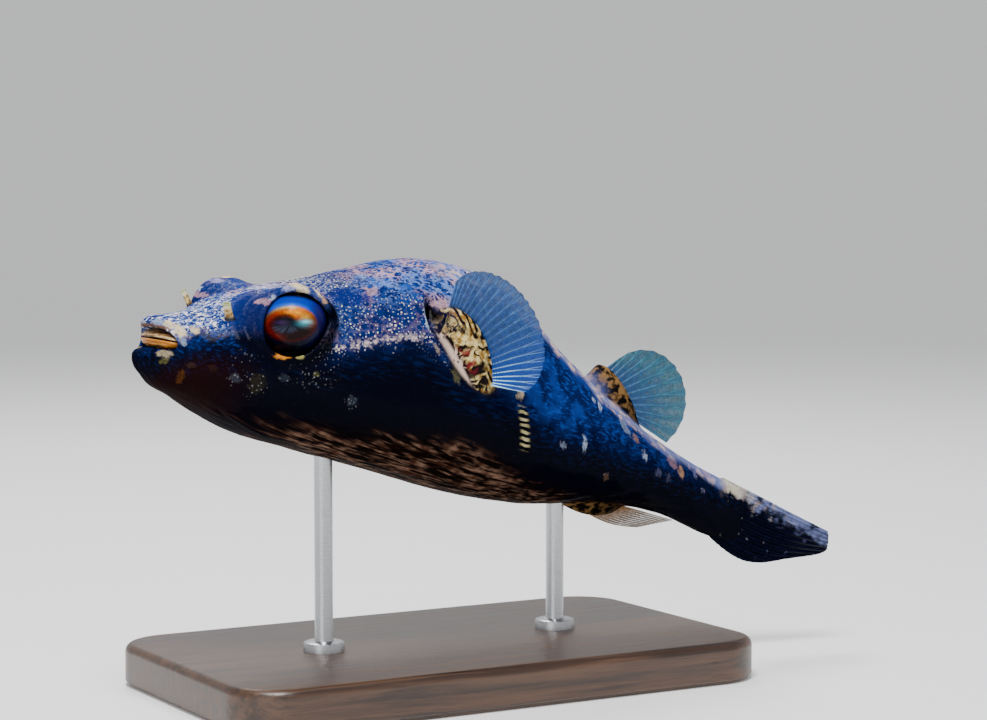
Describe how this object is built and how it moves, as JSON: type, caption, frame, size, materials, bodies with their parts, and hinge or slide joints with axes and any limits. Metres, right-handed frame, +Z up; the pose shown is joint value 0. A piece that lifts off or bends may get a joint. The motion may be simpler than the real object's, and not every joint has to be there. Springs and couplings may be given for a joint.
{
  "type": "display model of a freshwater pufferfish",
  "caption": "Life-size still model of a freshwater pufferfish, nose up as it swims, held by two short rods on a flat rounded base.",
  "frame": {"origin": "middle of the underside of the stand's base, where it rests on a table", "axes": "+X towards the fish's tail, +Y towards its right side, +Z up; the foot mount faces down"},
  "size_m": [0.1323, 0.056, 0.0707],
  "materials": {
    "skin": "satin, blue back with a pale net, navy flanks, brown and cream belly",
    "lip": "satin, slate blue",
    "beak": "orange brown with dark streaks",
    "eye": "wet gloss, orange iris and blue pupil",
    "nostril": "satin, pale brown",
    "fin_base": "satin, cream over dark",
    "fin": "thin, translucent blue between the rays",
    "tail_fin": "satin, near black with pale blotches",
    "stand_base": "dark oiled wood",
    "stand_rod": "brushed"
  },
  "bodies": {
    "root": {"head": "skin", "trunk": "skin", "tail_stem": "skin", "lip_upper": "lip", "lip_lower": "lip", "beak_upper": "beak", "beak_lower": "beak", "eye_left": "eye", "eye_right": "eye", "nostril_left": "nostril", "nostril_right": "nostril", "pectoral_base_left": "fin_base", "pectoral_base_right": "fin_base", "pectoral_fin_left": "fin", "pectoral_fin_right": "fin", "dorsal_fin_base": "fin_base", "dorsal_fin": "fin", "anal_fin_base": "fin_base", "anal_fin": "fin", "caudal_fin": "tail_fin", "stand_base": "stand_base", "stand_rod_front": "stand_rod", "stand_rod_rear": "stand_rod"}
  },
  "joints": []
}
